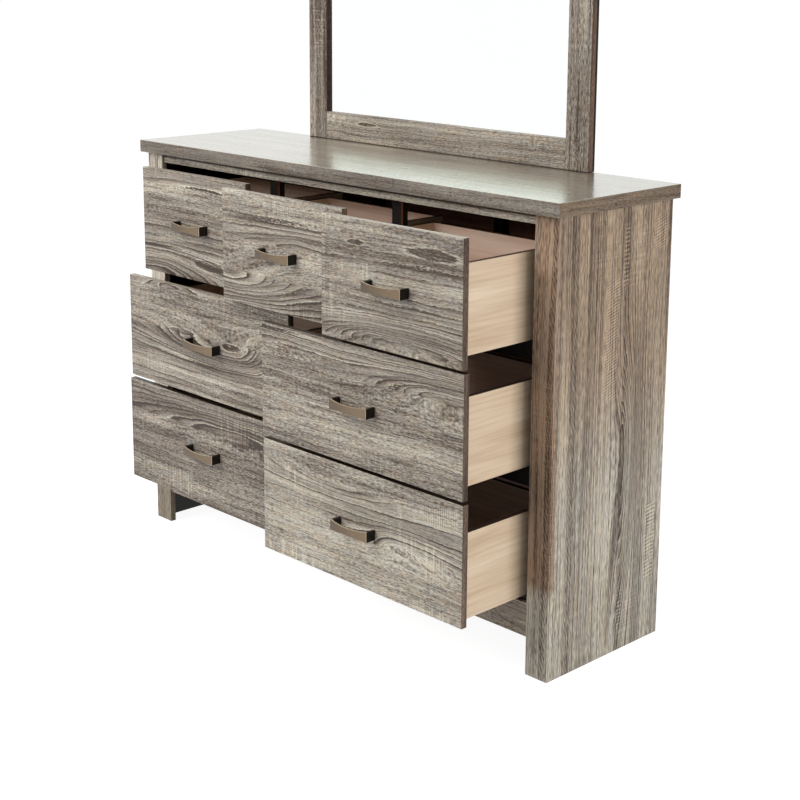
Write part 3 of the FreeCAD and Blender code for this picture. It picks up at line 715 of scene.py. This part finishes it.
heads_tree = fixing_heads()
HEAD_INPUTS = {
    item.name: item.identifier for item in heads_tree.interface.items_tree if item.in_out == "INPUT"
}


def drive(name, body, slot, places, **sizes):
    """Nails or screws at these places, as one piece that moves with the body."""
    marks = bpy.data.meshes.new(f"{name}_places")
    marks.from_pydata(places, [], [])
    piece = bpy.data.objects.new(name, marks)
    bpy.context.scene.collection.objects.link(piece)
    modifier = piece.modifiers.new("heads", "NODES")
    modifier.node_group = heads_tree
    for label, value in sizes.items():
        modifier[HEAD_INPUTS[label.replace("_", " ")]] = value
    ready = piece.evaluated_get(bpy.context.evaluated_depsgraph_get())
    heads = bpy.data.meshes.new_from_object(ready)
    piece.modifiers.clear()
    piece.data = heads
    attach(piece, body)


ZINC = [(0.3, paint(146, 144, 138)), (0.7, paint(190, 188, 180))]
zinc = Finish("zinc_plating")
blotch = zinc.noise(zinc.x * 700.0, zinc.z * 700.0, zinc.y * 700.0)
zinc.gloss(Base_Color=zinc.ramp(blotch, ZINC), Metallic=0.8, Roughness=0.3 + blotch * 0.2)
BACK_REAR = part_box("back_panel")[1][1]
BACKING_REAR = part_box("mirror_backing")[1][1]
REAR_RAILS = (0.139, 0.418, 0.683, 0.945)
ALONG_REAR_RAIL = [-0.638 + 0.10633 * place for place in range(13)]
UP_LOWER_BATTEN = (0.24, 0.33, 0.52, 0.60)
UPPER_BATTENS = (-0.2053, 0.2053)
UP_UPPER_BATTEN = (0.76, 0.85)
MIRROR_STILES = (-0.4265, 0.4265)
UP_MIRROR_STILE = [1.04 + 0.1025 * place for place in range(9)]
MIRROR_RAILS = (1.0345, 1.8655)
ALONG_MIRROR_RAIL = [-0.32 + 0.16 * place for place in range(5)]
nails = [(x, BACK_REAR, z) for z in REAR_RAILS for x in ALONG_REAR_RAIL]
nails += [(0.0, BACK_REAR, z) for z in UP_LOWER_BATTEN]
nails += [(x, BACK_REAR, z) for x in UPPER_BATTENS for z in UP_UPPER_BATTEN]
nails += [(x, BACKING_REAR, z) for x in MIRROR_STILES for z in UP_MIRROR_STILE]
nails += [(x, BACKING_REAR, z) for z in MIRROR_RAILS for x in ALONG_MIRROR_RAIL]
drive(
    "nail_heads", "carcass", "back_board", nails, Radius=0.0023, Height=0.0007, Crown=0.8, Seed=4,
    Metal=zinc.material,
)
LEG_MIDDLE = 0.0035
for number, name in enumerate(FRONTS):
    (left_end, _, low), (right_end, _, high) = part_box(f"{name}_pull")
    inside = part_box(f"{name}_drawer_front")[1][1]
    screws = [(x, inside, (low + high) / 2) for x in (left_end + LEG_MIDDLE, right_end - LEG_MIDDLE)]
    drive(
        f"{name}_pull_screws", f"{name}_drawer", "pull", screws, Radius=0.004, Height=0.0024, Crown=0.75,
        Recess_length=0.0046, Recess_width=0.0011, Recess_depth=0.0028, Recessed=True, Seed=number,
        Metal=zinc.material,
    )

# Studio: a pale floor that fades into a bright room, four broad lamps (before the dresser on the left, on
# its right, in front and above), a faint one that shows only in gloss, and the camera at the height of
# a standing person's shoulders.


def seen_directly(tree):
    """1 for what the camera sees, straight or in a gloss; 0 for light that falls on things."""
    rays = tree.nodes.new("ShaderNodeLightPath")
    seen = rays.outputs["Is Camera Ray"]
    for kind in ("Is Glossy Ray", "Is Transmission Ray"):
        either = tree.nodes.new("ShaderNodeMath")
        either.operation = "MAXIMUM"
        tree.links.new(seen, either.inputs[0])
        tree.links.new(rays.outputs[kind], either.inputs[1])
        seen = either.outputs[0]
    return seen


FLOOR_REACH = 40.0
FLOOR_BOUNCE = (0.4, 0.4, 0.4, 1)
FLOOR_SEEN = (0.25, 0.25, 0.25, 1)
FLOOR_GLOW = 0.93
WHITE = (1, 1, 1, 1)
floor_mesh = bpy.data.meshes.new("floor")
floor_mesh.from_pydata(
    [(x * FLOOR_REACH, y * FLOOR_REACH, 0) for x, y in ((-1, -1), (1, -1), (1, 1), (-1, 1))],
    [],
    [(0, 1, 2, 3)],
)
floor = bpy.data.objects.new("floor", floor_mesh)
bpy.context.scene.collection.objects.link(floor)
pale = bpy.data.materials.new("pale_floor")
pale.use_nodes = True
tree = pale.node_tree
tree.nodes.clear()
matt = tree.nodes.new("ShaderNodeBsdfDiffuse")
matt.inputs["Color"].default_value = FLOOR_BOUNCE
faint = tree.nodes.new("ShaderNodeBsdfDiffuse")
faint.inputs["Color"].default_value = FLOOR_SEEN
glow = tree.nodes.new("ShaderNodeEmission")
glow.inputs["Color"].default_value = WHITE
glow.inputs["Strength"].default_value = FLOOR_GLOW
white = tree.nodes.new("ShaderNodeAddShader")
tree.links.new(faint.outputs[0], white.inputs[0])
tree.links.new(glow.outputs[0], white.inputs[1])
either = tree.nodes.new("ShaderNodeMixShader")
tree.links.new(seen_directly(tree), either.inputs[0])
tree.links.new(matt.outputs[0], either.inputs[1])
tree.links.new(white.outputs[0], either.inputs[2])
surface = tree.nodes.new("ShaderNodeOutputMaterial")
tree.links.new(either.outputs[0], surface.inputs["Surface"])
floor_mesh.materials.append(pale)

ROOM_LIGHT = 0.34
ROOM_SEEN = 1.0
world = bpy.data.worlds.new("room")
bpy.context.scene.world = world
world.use_nodes = True
tree = world.node_tree
tree.nodes.clear()
strength = tree.nodes.new("ShaderNodeMapRange")
strength.inputs["To Min"].default_value = ROOM_LIGHT
strength.inputs["To Max"].default_value = ROOM_SEEN
tree.links.new(seen_directly(tree), strength.inputs["Value"])
sky = tree.nodes.new("ShaderNodeBackground")
sky.inputs["Color"].default_value = WHITE
tree.links.new(strength.outputs[0], sky.inputs["Strength"])
surface = tree.nodes.new("ShaderNodeOutputWorld")
tree.links.new(sky.outputs[0], surface.inputs["Surface"])


def broad_lamp(name, place, target, width, height, power, colour=WHITE[:3], in_gloss=False):
    """A soft lamp that either lights things without showing in their gloss, or only shows in it."""
    lamp = bpy.data.lights.new(name, "AREA")
    lamp.shape = "RECTANGLE"
    lamp.size = width
    lamp.size_y = height
    lamp.energy = power
    lamp.color = colour
    hung = bpy.data.objects.new(name, lamp)
    hung.location = place
    hung.visible_glossy = in_gloss
    hung.visible_diffuse = not in_gloss
    hung.rotation_euler = (Vector(target) - Vector(place)).to_track_quat("-Z", "Y").to_euler()
    bpy.context.scene.collection.objects.link(hung)


broad_lamp("left_lamp", (-2.3, -2.9, 3.4), (0, 0, 0.6), width=2.6, height=2.2, power=108)
broad_lamp("right_lamp", (4.2, 0.8, 1.5), (0.6, 0, 0.5), width=2.0, height=2.6, power=104)
broad_lamp("front_lamp", (-0.9, -4.2, 2.6), (0, 0, 0.8), width=2.0, height=1.0, power=68)
broad_lamp("upper_lamp", (-0.1, -1.3, 3.6), (0, 0, 0.9), width=2.4, height=1.8, power=60)
GLASS_GREEN = (0.78, 1.0, 0.86)
broad_lamp(
    "sheen_lamp", (-2.9, -2.6, 2.5), (-0.1, 0.28, 1.2), width=2.0, height=1.2, power=7.5,
    colour=GLASS_GREEN, in_gloss=True,
)

CAMERA_PLACE = Vector((2.6116, -2.3967, 1.4739))
CAMERA_TURN = math.radians(45.714)
CAMERA_TILT = math.radians(11.836)
CAMERA_ROLL = math.radians(0.334)
CAMERA_LENS = 71.016
CAMERA_FILM = 36
CAMERA_SHIFT = -0.15
back = Vector(
    (
        math.sin(CAMERA_TURN) * math.cos(CAMERA_TILT),
        -math.cos(CAMERA_TURN) * math.cos(CAMERA_TILT),
        math.sin(CAMERA_TILT),
    )
)
level_right = Vector((math.cos(CAMERA_TURN), math.sin(CAMERA_TURN), 0))
level_up = back.cross(level_right)
right = level_right * math.cos(CAMERA_ROLL) + level_up * math.sin(CAMERA_ROLL)
up = level_up * math.cos(CAMERA_ROLL) - level_right * math.sin(CAMERA_ROLL)
camera = bpy.data.cameras.new("camera")
camera.lens = CAMERA_LENS
camera.sensor_width = CAMERA_FILM
camera.shift_y = CAMERA_SHIFT
camera_object = bpy.data.objects.new("camera", camera)
camera_object.matrix_world = Matrix((right, up, back)).transposed().to_4x4()
camera_object.location = CAMERA_PLACE
bpy.context.scene.collection.objects.link(camera_object)
bpy.context.scene.camera = camera_object
bpy.context.scene.view_settings.view_transform = "Standard"
